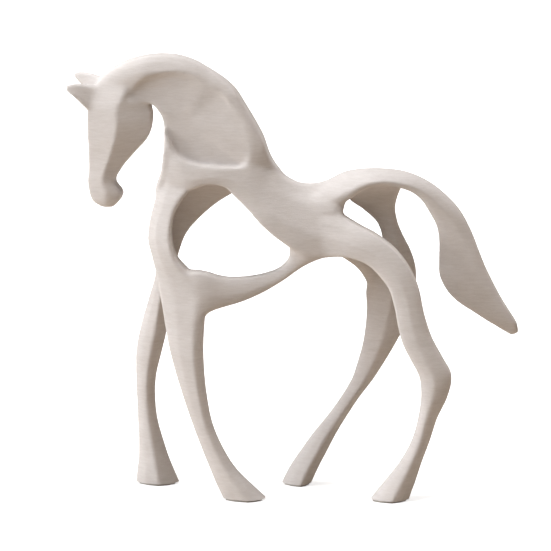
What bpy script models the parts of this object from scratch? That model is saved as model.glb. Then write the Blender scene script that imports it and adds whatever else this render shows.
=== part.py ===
"""Abstract horse statue: cast sections on steel dowels, with felt pads under the hooves.

Metres, +Z up. The head points to -X, the near side faces -Y and the pads stand on Z = 0.
The tables of stations are in millimetres.
"""

import math

import bmesh
import bpy
import numpy as np
from mathutils import Matrix, Vector

MM = 0.001

# Fits
GAP = 0.3
PAD_THICKNESS = 1.2
PAD_SHARE = 0.86
SOLE_Z = PAD_THICKNESS + GAP
DOWEL_SIDES = 16

# Surface of the castings
GRAIN = 1.8
SMOOTHING = 5
SKIN_TRIANGLES = 10500

# Pose of the head
HEAD_TURN = math.radians(9.0)
HEAD_PIVOT_X = -104.0
NEAR_EAR_DROOP = 2.2

# Joint planes
NECK_JOINT_Z = 219.0
FORELEG_JOINT_Z = 114.0
THIGH_JOINT_X = 43.0
CROUP_JOINT_Z = 198.0
TAIL_JOINT_X = 82.0

# Stance: share of the tabled y that a limb keeps, and its shift in x for each unit of tabled y
STANCE_SPREAD = 0.75
STANCE_STAGGER = 0.079

# Fall of the whole form for each unit of x
BODY_FALL = 0.015

# A station is edge A (x, z), edge B (x, z), middle y and half depth.
HEAD = (
    (-127.5, 191.3, -122.5, 191.3, 0, 3),
    (-134, 196, -119, 196.5, 0, 6.5),
    (-137.8, 203, -114.8, 204, 0, 8.5),
    (-138.2, 211, -119, 211.5, 0, 9.5),
    (-138, 220, -117, 220, 0, 10),
    (-138, 232, -108, 231.5, 0, 11),
    (-138, 243, -98.5, 242.5, 0, 12),
    (-138, 255, -95, 253, 0, 12.5),
    (-136.5, 266, -96, 264, 0, 12.5),
    (-132, 279, -103, 273, 0, 11.5),
    (-127, 284.5, -110, 280, 0, 9),
)
NECK = (
    (-127.5, 285.5, -108, 262, 0, 10.5),
    (-118, 291.5, -102, 264, 0, 11),
    (-106, 296.7, -96.5, 263.5, 0, 11.5),
    (-89, 299.5, -91.5, 260.5, 0, 11.5),
    (-72, 297.5, -88.5, 255, 0, 12),
    (-54.5, 289, -87, 247.5, 0, 13),
    (-41.7, 279.3, -86.8, 239, 0, 14),
    (-31.6, 264.5, -87.5, 230, 0, 15),
    (-22.8, 247, -89, 220, 0, 16),
    (-15.5, 228, -92, 205, 0, 13.5),
)
EAR = (
    (-126.5, 282.5, -125.5, 264.5, -6, 5),
    (-132.5, 282.7, -132.5, 262.6, -11, 5),
    (-139.5, 281.8, -137.5, 266.4, -18, 4.2),
    (-145, 280.7, -143, 271.8, -24, 3),
    (-148, 279.4, -147.2, 276.4, -28, 1.6),
)
SHOULDER_RING = (
    (-86, 234, -84, 204, -2, 12),
    (-74, 230, -72, 205.5, -2, 15.5),
    (-58, 228, -58, 210.5, -1, 17),
    (-42, 229, -45.5, 209, 0, 17.5),
    (-22, 240, -39.2, 203.3, 0, 17.5),
    (-8.6, 222, -30, 194.6, 0, 18.5),
    (3, 214, -20.5, 184, 0, 20),
    (13, 213.8, -7, 172.5, 0, 20),
    (25, 215.5, 11, 163, -1, 18.5),
    (36, 206, 26, 170, -3, 12),
)
NEAR_FORELEG = (
    (-87.5, 222, -60, 219, -8, 8),
    (-91, 208, -72, 205, -11, 9.5),
    (-94.5, 193, -79, 192, -13, 9.5),
    (-97.6, 176, -80.5, 178, -15, 10),
    (-95.3, 163, -77, 164, -17, 10),
    (-91.5, 151, -66, 152, -19, 10),
    (-88, 137, -57, 137, -21, 10),
    (-85, 122, -57.6, 121, -23.5, 10),
    (-82, 105, -58.2, 105, -26, 9.5),
    (-77.7, 88, -57.5, 88, -27, 9),
    (-72.2, 70, -55.5, 70, -28, 8),
    (-66, 52, -51.8, 52, -29, 7.5),
    (-60, 36, -45.2, 36, -29.5, 8),
    (-53.4, 20, -35.2, 20, -30, 9.5),
    (-48.3, 8, -23.3, 8, -30, 11),
    (-44.3, 0, -14.7, 0, -30, 12),
    (-40, -8, -6, -8, -30, 13),
)
FAR_FORELEG = (
    (-50, 229, -38, 207, 8, 7),
    (-68, 221, -51, 196.8, 11, 7),
    (-83, 207, -63, 186.3, 14, 7),
    (-94, 190, -73, 175, 16, 7.5),
    (-96.5, 168, -80, 160, 18, 8),
    (-95.7, 148, -84, 142, 21, 8),
    (-101.3, 128, -87.6, 125, 24, 8.5),
    (-107.3, 108, -89, 106, 26, 9),
    (-110.4, 90, -92.8, 90, 27, 8.5),
    (-110.6, 75, -96.4, 75, 28, 8),
    (-110.2, 58, -97.2, 58, 29, 7.5),
    (-109.6, 43, -95.6, 43, 29.5, 7.5),
    (-109.1, 30, -92.2, 30, 30, 8.5),
    (-109.3, 16, -87.8, 16, 30, 10),
    (-110.5, 5, -83.3, 5, 30, 11),
    (-111.5, -8, -78, -8, 30, 12),
)
CHEST_WALL = (
    (-88, 228, -74, 224, 2, 15),
    (-91, 210, -80, 208, 2, 15),
    (-95, 193, -85, 192, 2, 16),
    (-98, 176, -89, 177, 2, 17),
    (-96, 163, -88, 164, 2, 18),
    (-93, 155, -89, 157, 2, 18),
)
BELLY_STRAP = (
    (-66, 153.5, -62, 121, -20, 7),
    (-57, 154.5, -54, 126.5, -18, 8),
    (-46, 151, -45, 129.6, -16, 8),
    (-32, 150.6, -30, 134.7, -13.5, 7.5),
    (-19, 152.6, -17, 140.8, -11, 7),
    (-8, 156.3, -4, 149.2, -9, 7),
    (0, 164, 6.5, 157.2, -7, 8),
    (4, 173, 17, 162.8, -6, 10),
)
NEAR_HINDLEG = (
    (10, 204, 14, 166, -6, 9),
    (33.5, 196.3, 27, 164.5, -14, 10.5),
    (46, 188.2, 40, 165.5, -18, 10),
    (59, 181.6, 51, 161.5, -21, 9.5),
    (72, 171.6, 60, 154, -24, 9),
    (80.6, 160.3, 66.6, 145.5, -26, 9),
    (87.3, 147, 70.8, 134, -27, 9),
    (91.4, 129, 73.5, 122, -28, 9),
    (96.5, 114, 76.4, 110.5, -29, 9),
    (104.2, 100, 82.2, 99, -30, 9),
    (110, 88.5, 88, 87.5, -30, 9),
    (107.5, 74, 89.5, 74, -30, 8.5),
    (100.8, 59, 87.8, 60, -30, 7.5),
    (95.2, 43, 82.7, 43, -30, 7.5),
    (89.8, 28, 74.5, 27.5, -30, 8.5),
    (85.3, 14, 64.5, 14, -30, 10),
    (81.4, 3, 56, 3, -30, 11.5),
    (78, -8, 47, -8, -30, 12.5),
)
FAR_HINDLEG = (
    (76, 216, 36, 204.5, 8, 6),
    (69.5, 200, 43.5, 194.3, 11, 6),
    (70, 187, 53.3, 185.2, 14.5, 6),
    (73, 177, 57.3, 175.5, 17.5, 6.5),
    (77.5, 166, 58, 164, 21, 7),
    (81, 152, 50.5, 150.5, 24, 8),
    (80, 138, 46, 138, 26, 8.5),
    (76.5, 125, 46, 125, 28, 8.5),
    (73, 112, 46.2, 112, 28.5, 8.5),
    (67, 100, 44.6, 100, 29, 8.5),
    (60.2, 88, 41.4, 88, 29.5, 8),
    (52.1, 75, 37.1, 75, 30, 7.5),
    (43.2, 63, 30.3, 63, 30, 7.5),
    (34.8, 50, 21.4, 50, 30, 7.5),
    (26.8, 36.5, 10.8, 36.5, 30, 8.5),
    (20.7, 24.5, 2.2, 24, 30, 10),
    (14.6, 12.5, -5.6, 12, 30, 11),
    (9.8, 2, -10, 3, 30, 11.5),
    (4, -8, -15, -8, 30, 12),
)
FAR_FLANK = (
    (16, 190, 12, 165, 2, 10),
    (28, 182, 24, 165, 8, 9),
    (42, 174, 37, 157, 14, 8),
    (56, 163, 47, 149, 20, 8),
    (66, 150, 52, 136, 24, 8),
)
TAIL = (
    (4, 210, 8, 182, 0, 16),
    (24, 216.8, 28, 197, 0, 17),
    (35, 221.8, 37, 203, 0, 16),
    (47, 223.5, 47, 209, 0, 15.5),
    (60, 223.8, 60, 212.5, 0, 14.5),
    (73, 222.8, 71, 211.2, 0, 13),
    (84, 219.8, 79.6, 208.5, 0, 11.5),
    (93, 215, 85.9, 203.7, 0, 10.5),
    (101.6, 208.3, 91.2, 195.8, 0, 9.5),
    (111.4, 198, 96.2, 186.6, 0, 8.5),
    (119.8, 183, 98.2, 176, 0, 7.5),
    (125.3, 169, 98.2, 164, 0, 7),
    (129.8, 158, 98.6, 152.7, 0, 7),
    (135.6, 148, 102.4, 141.4, 0, 7),
    (140.7, 138, 109.3, 133.8, 0, 6.5),
    (146.3, 128.5, 121.3, 126.4, 0, 6),
    (151, 120.5, 135.5, 119, 0, 5),
    (152.5, 114.3, 147.6, 111.6, 0, 3),
)

# The scoop in the side of the neck: (x, z) on the rim, the floor's inset from it and the floor's y.
SCOOP_RIM = (
    (-106, 261, 2, -6.5),
    (-96, 256, 1, -6.5),
    (-88, 251, 1, -7),
    (-83.4, 244.4, 2, -7),
    (-81.2, 238.5, 3, -7),
    (-77.5, 233.3, 3.5, -7.3),
    (-72, 229.5, 3.5, -7.8),
    (-64, 227.3, 3.5, -8.3),
    (-54, 226.4, 3.5, -9),
    (-44, 225.9, 3.5, -10),
    (-37, 226.3, 4, -11),
    (-31, 229.5, 5, -12),
    (-28, 236, 8, -12.7),
    (-28, 243, 11, -12.8),
    (-31, 252, 13, -12.2),
    (-38, 264.5, 14, -10.8),
    (-48, 276.2, 14, -9.3),
    (-58, 284, 13, -8),
    (-68, 288, 12, -7),
    (-79, 289.7, 12, -6.5),
    (-90, 287.7, 12, -6),
    (-100, 282.5, 11, -6),
    (-109, 275.5, 9, -6),
    (-114.5, 268.5, 7, -6.3),
)
SCOOP_MIDDLE = (-72, 256)
SCOOP_RIM_Y = -14.0
SCOOP_OUTER_Y = -30.0

# Dowels: diameter and both ends as (x, y, z)
DOWELS = {
    "neck_dowel_front": (5.0, (-79, 0, 209), (-79, 0, 231)),
    "neck_dowel_rear": (5.0, (-31, 0, 207), (-31, 0, 231)),
    "near_foreleg_dowel": (5.0, (-69.6, -26.2, 100), (-71.2, -22.6, 128)),
    "far_foreleg_dowel": (5.0, (-99.6, 26.5, 100), (-94.8, 23.9, 128)),
    "near_hindleg_dowel": (5.0, (31, -14.2, 181), (55, -21, 172)),
    "far_hindleg_dowel_flank": (4.0, (33, 11, 169.3), (50, 19.2, 157.2)),
    "far_hindleg_dowel_croup": (4.0, (61.2, 14.3, 186.5), (56, 8.2, 210)),
    "tail_dowel": (4.0, (71, 0, 217.4), (91.5, 0, 208.5)),
}

# The casting that each dowel joins to the torso
SOCKETED = {
    "neck_dowel_front": "head_neck",
    "neck_dowel_rear": "head_neck",
    "near_foreleg_dowel": "near_foreleg",
    "far_foreleg_dowel": "far_foreleg",
    "near_hindleg_dowel": "near_hindleg",
    "far_hindleg_dowel_flank": "far_hindleg",
    "far_hindleg_dowel_croup": "far_hindleg",
    "tail_dowel": "tail",
}

# Finishes: colour, roughness, metallic
FINISHES = {
    "cast_stone": ((0.62, 0.56, 0.5), 0.9, 0.0),
    "steel": ((0.5, 0.5, 0.52), 0.35, 1.0),
    "felt": ((0.55, 0.53, 0.5), 1.0, 0.0),
}

# Section profiles: share of the way from edge A to edge B, share of the half depth.
HEAD_PROFILE = (
    (0.0, 0.0),
    (0.0, 0.28),
    (0.12, 0.62),
    (0.3, 0.9),
    (0.42, 1.0),
    (0.52, 0.93),
    (0.66, 0.8),
    (0.85, 0.78),
    (0.97, 0.82),
    (1.0, 0.72),
    (1.0, 0.0),
)
CREST_PROFILE = (
    (0.0, 0.0),
    (0.0, 0.5),
    (0.015, 0.82),
    (0.06, 0.96),
    (0.2, 1.0),
    (0.5, 1.0),
    (0.8, 0.95),
    (0.93, 0.8),
    (0.985, 0.5),
    (1.0, 0.0),
)


def rounded_profile(power, ridge=0.0, count=9):
    """Half of a superellipse, with its high point moved by a share of the width."""
    profile = []
    for step in range(count):
        turn = math.pi * step / (count - 1)
        across = -math.copysign(abs(math.cos(turn)) ** (2 / power), math.cos(turn))
        depth = abs(math.sin(turn)) ** (2 / power)
        across += ridge * (1 - across * across)
        profile.append((0.5 + 0.5 * across, depth))
    return profile


def between_stations(stations, spacing):
    """Rows along a smooth curve through the stations, about one spacing apart."""
    knots = np.array(stations, float)
    middles = np.column_stack((knots[:, 0] + knots[:, 2], knots[:, 1] + knots[:, 3])) / 2
    steps = np.maximum(np.linalg.norm(np.diff(middles, axis=0), axis=1), 1.0)
    slopes = np.diff(knots, axis=0) / steps[:, None]
    tangents = np.empty_like(knots)
    tangents[0] = slopes[0]
    tangents[-1] = slopes[-1]
    before = steps[:-1, None]
    after = steps[1:, None]
    tangents[1:-1] = (slopes[:-1] * after + slopes[1:] * before) / (before + after)
    rows = []
    for index, step in enumerate(steps):
        count = max(1, round(step / spacing))
        for share in np.arange(count) / count:
            square = share * share
            cube = square * share
            rows.append(
                knots[index] * (2 * cube - 3 * square + 1)
                + tangents[index] * step * (cube - 2 * square + share)
                + knots[index + 1] * (3 * square - 2 * cube)
                + tangents[index + 1] * step * (cube - square)
            )
    rows.append(knots[-1])
    return rows


def placed(x, y, z):
    """A tabled point with the stance and the fall of the form applied."""
    x += STANCE_STAGGER * y
    return x, y * STANCE_SPREAD, z - BODY_FALL * x


def section_ring(row, profile):
    """Points of one section, down its near side and back up its far side."""
    ax, az, bx, bz, y, depth = row
    ax, middle, az = placed(ax, y, az)
    bx, middle, bz = placed(bx, y, bz)
    line = [(ax + (bx - ax) * u, az + (bz - az) * u, depth * v) for u, v in profile]
    near = [(x, middle - half, z) for x, z, half in line]
    far = [(x, middle + half, z) for x, z, half in line]
    return near + far[-2:0:-1]


def mesh_object(name, bm):
    """An object in the scene that holds the mesh, with its faces turned outwards."""
    bmesh.ops.recalc_face_normals(bm, faces=bm.faces[:])
    mesh = bpy.data.meshes.new(name)
    bm.to_mesh(mesh)
    bm.free()
    made = bpy.data.objects.new(name, mesh)
    bpy.context.scene.collection.objects.link(made)
    return made


def loft(name, rings):
    """A closed body through rings of equal point count, given in millimetres."""
    bm = bmesh.new()
    loops = [[bm.verts.new(Vector(point) * MM) for point in ring] for ring in rings]
    count = len(rings[0])
    for lower, upper in zip(loops, loops[1:]):
        for index in range(count):
            after = (index + 1) % count
            bm.faces.new((lower[index], lower[after], upper[after], upper[index]))
    bm.faces.new(loops[0])
    bm.faces.new(loops[-1])
    return mesh_object(name, bm)


def ribbon(name, stations, profile, spacing=4.0):
    """A limb or band lofted through its stations."""
    return loft(name, [section_ring(row, profile) for row in between_stations(stations, spacing)])


def turned_head(stations, profile, side=1.0, droop=0.0):
    """Rings of a head form, turned about the poll; side -1 gives the far twin."""
    rings = []
    for row in between_stations(stations, 3.0):
        ring = []
        for x, y, z in section_ring(row, profile):
            y = y * side
            along = x - HEAD_PIVOT_X
            turned_x = HEAD_PIVOT_X + along * math.cos(HEAD_TURN) + y * math.sin(HEAD_TURN)
            turned_y = y * math.cos(HEAD_TURN) - along * math.sin(HEAD_TURN)
            ring.append((turned_x, turned_y, z - droop))
        rings.append(ring)
    return rings


def scoop_cutter(name, side):
    """The tool that hollows one side of the neck, sloping in from its rim to its floor."""
    outer = []
    rim = []
    floor = []
    inner = []
    for x, z, inset, floor_y in SCOOP_RIM:
        inward = Vector((SCOOP_MIDDLE[0] - x, SCOOP_MIDDLE[1] - z))
        step = inward.normalized()
        x, _, z = placed(x, 0, z)
        outer.append((x - step.x, SCOOP_OUTER_Y * side, z - step.y))
        rim.append((x, SCOOP_RIM_Y * side, z))
        floor.append((x + step.x * inset, floor_y * side, z + step.y * inset))
        inner.append((x + inward.x * 0.7, (0.6 * floor_y - 3.4) * side, z + inward.y * 0.7))
    return loft(name, [outer, rim, floor, inner])


def subtract(body, cutter):
    """Cuts the cutter from the body, and keeps the result as the body's mesh."""
    change = body.modifiers.new("cut", "BOOLEAN")
    change.operation = "DIFFERENCE"
    change.object = cutter
    bake(body)


def bake(body):
    """Replaces the body's mesh with the result of its modifiers."""
    graph = bpy.context.evaluated_depsgraph_get()
    mesh = bpy.data.meshes.new_from_object(body.evaluated_get(graph), depsgraph=graph)
    body.modifiers.clear()
    body.data = mesh


def joined(name, bodies):
    """One object that holds the meshes of all the bodies."""
    bm = bmesh.new()
    for body in bodies:
        bm.from_mesh(body.data)
        bpy.data.objects.remove(body)
    return mesh_object(name, bm)


def statue_skin(grain, smoothing):
    """The whole outer form as one smooth closed body."""
    scoops = [scoop_cutter("neck_scoop_near", 1.0), scoop_cutter("neck_scoop_far", -1.0)]
    neck = ribbon("neck", NECK, CREST_PROFILE, 3.0)
    ring = ribbon("shoulder_ring", SHOULDER_RING, rounded_profile(2.4))
    for body in (neck, ring):
        for scoop in scoops:
            subtract(body, scoop)
    for scoop in scoops:
        bpy.data.objects.remove(scoop)
    leg_profile = rounded_profile(1.7, 0.35)
    hind_profile = rounded_profile(1.7, 0.0)
    bodies = [
        neck,
        ring,
        loft("head", turned_head(HEAD, HEAD_PROFILE)),
        loft("near_ear", turned_head(EAR, rounded_profile(2.0), 1.0, NEAR_EAR_DROOP)),
        loft("far_ear", turned_head(EAR, rounded_profile(2.0), -1.0)),
        ribbon("near_foreleg_form", NEAR_FORELEG, leg_profile),
        ribbon("far_foreleg_form", FAR_FORELEG, hind_profile),
        ribbon("chest_wall", CHEST_WALL, rounded_profile(2.4)),
        ribbon("belly_strap", BELLY_STRAP, rounded_profile(2.2)),
        ribbon("near_hindleg_form", NEAR_HINDLEG, hind_profile),
        ribbon("far_hindleg_form", FAR_HINDLEG, hind_profile),
        ribbon("far_flank", FAR_FLANK, rounded_profile(2.0)),
        ribbon("tail_form", TAIL, rounded_profile(2.6)),
    ]
    skin = joined("statue_skin", bodies)
    remesh = skin.modifiers.new("remesh", "REMESH")
    remesh.mode = "VOXEL"
    remesh.voxel_size = grain * MM
    smooth = skin.modifiers.new("smooth", "SMOOTH")
    smooth.factor = 0.5
    smooth.iterations = smoothing
    bake(skin)
    return skin


def casting_regions(gap, sole):
    """The space of each casting cut from the torso: an (x, z) outline and its two y limits."""
    neck = NECK_JOINT_Z + gap
    foreleg = FORELEG_JOINT_Z - gap
    thigh = THIGH_JOINT_X + gap
    croup = CROUP_JOINT_Z - gap
    tail = TAIL_JOINT_X + gap
    return {
        "head_neck": (
            ((-170, 180), (-106, 180), (-106, neck), (8, neck), (8, 320), (-170, 320)),
            (-60, 60),
        ),
        "near_foreleg": (
            ((-110, sole), (10, sole), (10, foreleg), (-110, foreleg)),
            (-60, -4),
        ),
        "far_foreleg": (
            ((-130, sole), (-60, sole), (-60, foreleg), (-130, foreleg)),
            (0, 60),
        ),
        "near_hindleg": (
            (
                (thigh, sole),
                (125, sole),
                (125, 104),
                (97, 113),
                (97, 170),
                (84, 193),
                (thigh, 199),
            ),
            (-60, -0.5),
        ),
        "far_hindleg": (
            (
                (-40, sole),
                (88.5, sole),
                (88.5, croup),
                (thigh, croup),
                (thigh, 142),
                (-40, 142),
            ),
            (-0.5, 60),
        ),
        "tail": (
            ((tail, 200), (tail, 235), (165, 235), (165, 100), (93, 100), (93, 190)),
            (-12.4, 12.4),
        ),
    }


def prism(name, outline, limits):
    """A straight-sided body: an (x, z) outline carried between two y limits."""
    return loft(name, [[(x, y, z) for x, z in outline] for y in limits])


def cylinder(name, diameter, ends, extra=0.0):
    """A round bar between two points, drawn out by the extra at both ends and all round."""
    start = Vector(placed(*ends[0]))
    end = Vector(placed(*ends[1]))
    along = end - start
    bm = bmesh.new()
    bmesh.ops.create_cone(
        bm,
        cap_ends=True,
        segments=DOWEL_SIDES,
        radius1=(diameter / 2 + extra) * MM,
        radius2=(diameter / 2 + extra) * MM,
        depth=(along.length + 2 * extra) * MM,
    )
    turn = Vector((0, 0, 1)).rotation_difference(along).to_matrix().to_4x4()
    bmesh.ops.transform(bm, matrix=turn, verts=bm.verts[:])
    bmesh.ops.translate(bm, vec=(start + end) / 2 * MM, verts=bm.verts[:])
    return mesh_object(name, bm)


def hoof_pad(name, stations, profile):
    """A flat pad with the outline of the hoof's sole, a little smaller."""
    rows = between_stations(stations, 1.0)
    sole = min(rows, key=lambda row: abs(row[1] + row[3] - 2 * SOLE_Z))
    ring = section_ring(sole, profile)
    middle_x = sum(point[0] for point in ring) / len(ring)
    middle_y = sum(point[1] for point in ring) / len(ring)
    outline = [
        (middle_x + (x - middle_x) * PAD_SHARE, middle_y + (y - middle_y) * PAD_SHARE)
        for x, y, z in ring
    ]
    return loft(name, [[(x, y, z) for x, y in outline] for z in (0.0, PAD_THICKNESS)])


def cut_from_skin(skin, name, operation, cutters):
    """A copy of the skin, kept inside its cutter or cut back by all of them."""
    casting = bpy.data.objects.new(name, skin.data.copy())
    bpy.context.scene.collection.objects.link(casting)
    for cutter in cutters:
        change = casting.modifiers.new("cut", "BOOLEAN")
        change.operation = operation
        change.object = cutter
    bake(casting)
    return casting


def finish(body, slot, collection):
    """Moves the body to the statue's collection and gives it its own material."""
    colour, roughness, metallic = FINISHES[slot]
    material = bpy.data.materials.new(body.name + "_" + slot)
    material.use_nodes = True
    shader = material.node_tree.nodes["Principled BSDF"]
    shader.inputs["Base Color"].default_value = (*colour, 1.0)
    shader.inputs["Roughness"].default_value = roughness
    shader.inputs["Metallic"].default_value = metallic
    body.data.materials.clear()
    body.data.materials.append(material)
    bpy.context.scene.collection.objects.unlink(body)
    collection.objects.link(body)


def centre(bodies):
    """Moves all the bodies together, so that the middle of their footprint is at the origin."""
    corners = np.array([vertex.co for body in bodies for vertex in body.data.vertices])
    middle = (corners.min(axis=0) + corners.max(axis=0)) / 2
    for body in bodies:
        body.data.transform(Matrix.Translation((-middle[0], -middle[1], 0.0)))


def main():
    for existing in list(bpy.data.objects):
        bpy.data.objects.remove(existing)
    statue = bpy.data.collections.new("abstract_horse_statue")
    bpy.context.scene.collection.children.link(statue)

    skin = statue_skin(GRAIN, SMOOTHING)
    thin = skin.modifiers.new("thin", "DECIMATE")
    thin.ratio = SKIN_TRIANGLES / (2 * len(skin.data.polygons))
    bake(skin)

    castings = []
    for name, (outline, limits) in casting_regions(GAP, SOLE_Z).items():
        region = prism(name + "_region", outline, limits)
        castings.append(cut_from_skin(skin, name, "INTERSECT", [region]))
        bpy.data.objects.remove(region)
    regions = [
        prism(name + "_region", outline, limits)
        for name, (outline, limits) in casting_regions(0.0, -20.0).items()
    ]
    castings.append(cut_from_skin(skin, "torso", "DIFFERENCE", regions))
    for region in regions:
        bpy.data.objects.remove(region)
    bpy.data.objects.remove(skin)

    for name, (diameter, start, end) in DOWELS.items():
        socket = cylinder(name + "_socket", diameter, (start, end), GAP)
        for casting in castings:
            if casting.name in ("torso", SOCKETED[name]):
                subtract(casting, socket)
        bpy.data.objects.remove(socket)
        finish(cylinder(name, diameter, (start, end)), "steel", statue)
    for casting in castings:
        finish(casting, "cast_stone", statue)

    leg_profile = rounded_profile(1.7, 0.35)
    hind_profile = rounded_profile(1.7, 0.0)
    finish(hoof_pad("near_fore_pad", NEAR_FORELEG, leg_profile), "felt", statue)
    finish(hoof_pad("far_fore_pad", FAR_FORELEG, hind_profile), "felt", statue)
    finish(hoof_pad("near_hind_pad", NEAR_HINDLEG, hind_profile), "felt", statue)
    finish(hoof_pad("far_hind_pad", FAR_HINDLEG, hind_profile), "felt", statue)
    centre(statue.objects)


if __name__ == "__main__":
    main()
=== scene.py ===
"""Studio scene of the abstract horse statue.

The castings are modelled as one fine skin, from the stations that the solids follow, and are
parted at the joints, so that they meet without a visible seam.
Stations and sizes are in millimetres, and the finished pieces in metres.
"""

import math

import bmesh
import bpy
import numpy as np
from mathutils import Matrix, Vector


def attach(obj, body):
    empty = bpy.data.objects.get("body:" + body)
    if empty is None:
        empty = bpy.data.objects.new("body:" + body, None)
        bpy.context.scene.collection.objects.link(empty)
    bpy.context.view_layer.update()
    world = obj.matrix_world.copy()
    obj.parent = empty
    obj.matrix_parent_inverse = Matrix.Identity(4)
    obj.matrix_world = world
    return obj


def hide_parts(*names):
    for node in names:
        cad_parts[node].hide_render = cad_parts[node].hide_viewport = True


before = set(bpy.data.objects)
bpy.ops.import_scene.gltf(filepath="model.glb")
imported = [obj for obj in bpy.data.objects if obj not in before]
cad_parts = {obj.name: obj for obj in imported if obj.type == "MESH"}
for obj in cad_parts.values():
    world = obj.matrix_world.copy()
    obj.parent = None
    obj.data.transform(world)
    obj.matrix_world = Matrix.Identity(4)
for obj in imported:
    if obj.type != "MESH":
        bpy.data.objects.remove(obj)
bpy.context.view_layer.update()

MM = 0.001

# Fine surface of the castings
SKIN_GRAIN = 0.8
SKIN_SMOOTHING = 11
SMOOTHING_FACTOR = 0.5
ROW_SPACING = 2.0
SHORTEST_STEP = 1.0
SEAM_ANGLE = math.radians(48)

# Pads
PAD_THICKNESS = 1.2
PAD_SHARE = 0.86
PAD_ROUND = 0.35
PAD_ROUND_STEPS = 3
PAD_ROW_SPACING = 1.0
LEVEL_WITHIN = 0.1
SOLE_Z = 1.5

# Pose of the head
HEAD_TURN = math.radians(9.0)
HEAD_PIVOT_X = -104.0
NEAR_EAR_DROOP = 3.0
FAR_EAR_DROOP = -2.2

# Stance: share of the tabled y that a limb keeps, and its shift in x for each unit of tabled y
STANCE_SPREAD = 0.75
STANCE_STAGGER = 0.079

# Fall of the whole form for each unit of x
BODY_FALL = 0.015

# The stations give the outline as it is seen from a little above, where the near edge of an
# underside shows, so edge B rises by this share of its depth.
SIGHT_RISE = 0.19

# How the sides of a fold bulge: at this share of a side, it has reached this share of its depth.
ROUND_AT = 0.4
ROUND_TO = 0.6

# A station is edge A (x, z), edge B (x, z), middle y and half depth.
HEAD = (
    (-129.5, 194.2, -122, 194.2, 0, 4),
    (-134.5, 197.5, -118.5, 198, 0, 7),
    (-137.2, 203.5, -115.2, 203.5, 0, 9),
    (-137.8, 207.5, -116.3, 207.3, 0, 9.5),
    (-138.2, 212, -120.6, 211.6, 0, 9.8),
    (-137.4, 220, -117.5, 219.5, 0, 10.2),
    (-137.4, 232, -108, 231.5, 0, 11.2),
    (-137.4, 243, -98.5, 242.5, 0, 13),
    (-137.4, 255, -95, 253, 0, 13.8),
    (-136.5, 266, -95.6, 264, 0, 13.5),
    (-132.2, 277.5, -103, 273.5, 0, 11.5),
    (-127, 283.5, -110, 281, 0, 9),
)
NECK = (
    (-132.8, 278.6, -112, 264, 5, 8.5),
    (-126.6, 285.9, -108, 266.5, 4, 10),
    (-117, 292.2, -103, 267, 2, 11),
    (-106, 296.7, -97, 265.5, 0, 11.5),
    (-89, 299.5, -91.5, 261.3, 0, 11.5),
    (-72, 297.5, -88, 255.3, 0, 12),
    (-54.5, 289, -86.8, 248, 0, 13),
    (-41.7, 279.3, -86.8, 239, 0, 14),
    (-31.6, 264.5, -87.5, 230, 0, 14.4),
    (-21.6, 247, -89, 220, 0, 15.2),
    (-14, 229, -92, 205, 0, 14.6),
    (-7, 220.5, -80, 212, 0, 10.6),
)
EAR = (
    (-124, 277, -123, 262, -5, 6),
    (-133.2, 280.8, -134, 261.8, -8.5, 4.6),
    (-140.3, 281.8, -139, 266.8, -12, 3.6),
    (-146.5, 281.6, -144.4, 272.6, -15, 2.8),
    (-150, 280.6, -149, 276.8, -17, 1.7),
)
SHOULDER_RING = (
    (-86, 234, -84, 204, -2, 12),
    (-74, 230, -72, 205.5, -2, 15.5),
    (-58, 228, -58, 210.5, -1, 17),
    (-42, 229, -45.5, 209, 0, 17.5),
    (-27, 234, -39.2, 203.3, 0, 17.5),
    (-10.8, 222, -30, 194.6, 0, 18.5),
    (2, 214.4, -20.5, 184, 0, 20),
    (13, 213.8, -7, 172.5, 0, 20),
    (25, 215.5, 11, 163, -1, 18.5),
    (37, 209, 28, 172, -4, 15),
)
NEAR_FORELEG = (
    (-87.5, 222, -60, 219, -8, 8),
    (-91, 208, -72, 205, -11, 9.5),
    (-94.5, 193, -79, 192, -13, 9.5),
    (-96.6, 176, -80.5, 178, -15, 10),
    (-93.5, 163, -77, 164, -17, 10),
    (-90.4, 151, -66, 152, -19, 10),
    (-88, 137, -57, 137, -21, 10),
    (-85, 122, -57.6, 121, -23.5, 10),
    (-82, 105, -58.2, 105, -26, 9.5),
    (-77.7, 88, -57.5, 88, -27, 9),
    (-72.2, 70, -55.5, 70, -28, 8),
    (-66, 52, -51.8, 52, -29, 7.5),
    (-60, 36, -45.2, 36, -29.5, 8),
    (-53.4, 20, -35.2, 20, -30, 9.5),
    (-48.3, 8, -23.3, 8, -30, 11),
    (-44.3, 0, -14.7, 0, -30, 12),
    (-40, -8, -6, -8, -30, 13),
)
FAR_FORELEG = (
    (-50, 229, -38, 207, 8, 7),
    (-68, 221, -52, 198, 11, 7),
    (-83, 207, -64.2, 187.4, 14, 7),
    (-94, 190, -74, 175.8, 16, 7.5),
    (-96.5, 168, -80, 160, 18, 8),
    (-95.7, 148, -84, 142, 21, 8),
    (-101.3, 128, -87.6, 125, 24, 8.5),
    (-107.3, 108, -89, 106, 26, 9),
    (-110.4, 90, -92.8, 90, 27, 8.5),
    (-110.6, 75, -96.4, 75, 28, 8),
    (-110.2, 58, -97.2, 58, 29, 7.5),
    (-109.6, 43, -95.6, 43, 29.5, 7.5),
    (-109.1, 30, -92.2, 30, 30, 8.5),
    (-109.3, 16, -87.8, 16, 30, 10),
    (-110.5, 5, -83.3, 5, 30, 11),
    (-111.5, -8, -78, -8, 30, 12),
)
CHEST_WALL = (
    (-88, 228, -74, 224, 2, 15),
    (-91, 210, -80, 208, 2, 15),
    (-95, 193, -85, 192, 2, 16),
    (-97.4, 176, -89, 177, 2, 17),
    (-94.4, 163, -88, 164, 2, 18),
    (-92.4, 155, -89, 157, 2, 18),
)
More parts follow.
